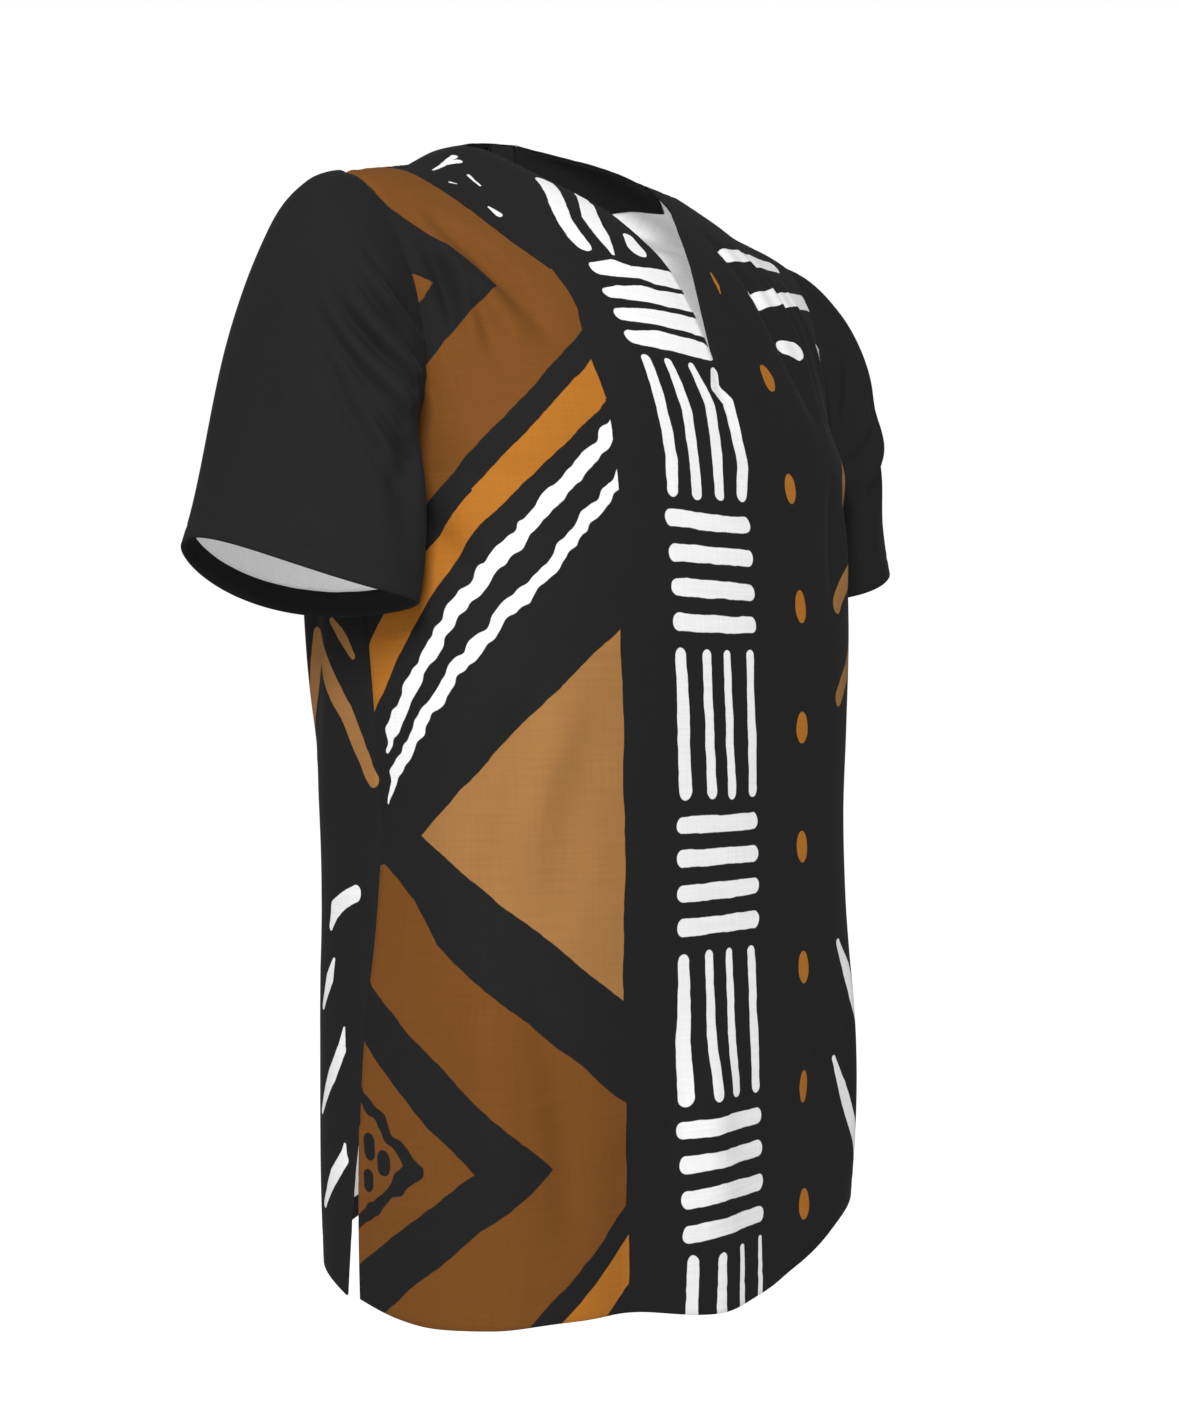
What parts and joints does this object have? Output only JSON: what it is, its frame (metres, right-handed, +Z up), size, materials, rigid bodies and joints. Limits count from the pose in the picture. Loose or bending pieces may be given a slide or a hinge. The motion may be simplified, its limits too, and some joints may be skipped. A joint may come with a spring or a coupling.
{
  "type": "dashiki shirt",
  "caption": "Short-sleeved pull-on dashiki shirt with a notched round neck, side slits and a mudcloth-style print, standing open as if filled.",
  "frame": {"origin": "midway between the wearer's shoulders, at the level of the two neck points where the shoulder seams meet the neckline", "axes": "+Z up, the wearer faces -Y, +X to the wearer's left"},
  "size_m": [0.6223, 0.2642, 0.81],
  "materials": {
    "front_print": "matte woven, printed",
    "back_print": "matte woven, printed",
    "sleeve_cloth": "matte woven, black",
    "facing_cloth": "matte woven, black"
  },
  "bodies": {
    "root": {"front": "front_print", "back": "back_print", "sleeve_right": "sleeve_cloth", "sleeve_left": "sleeve_cloth", "neck_facing": "facing_cloth"}
  },
  "joints": []
}
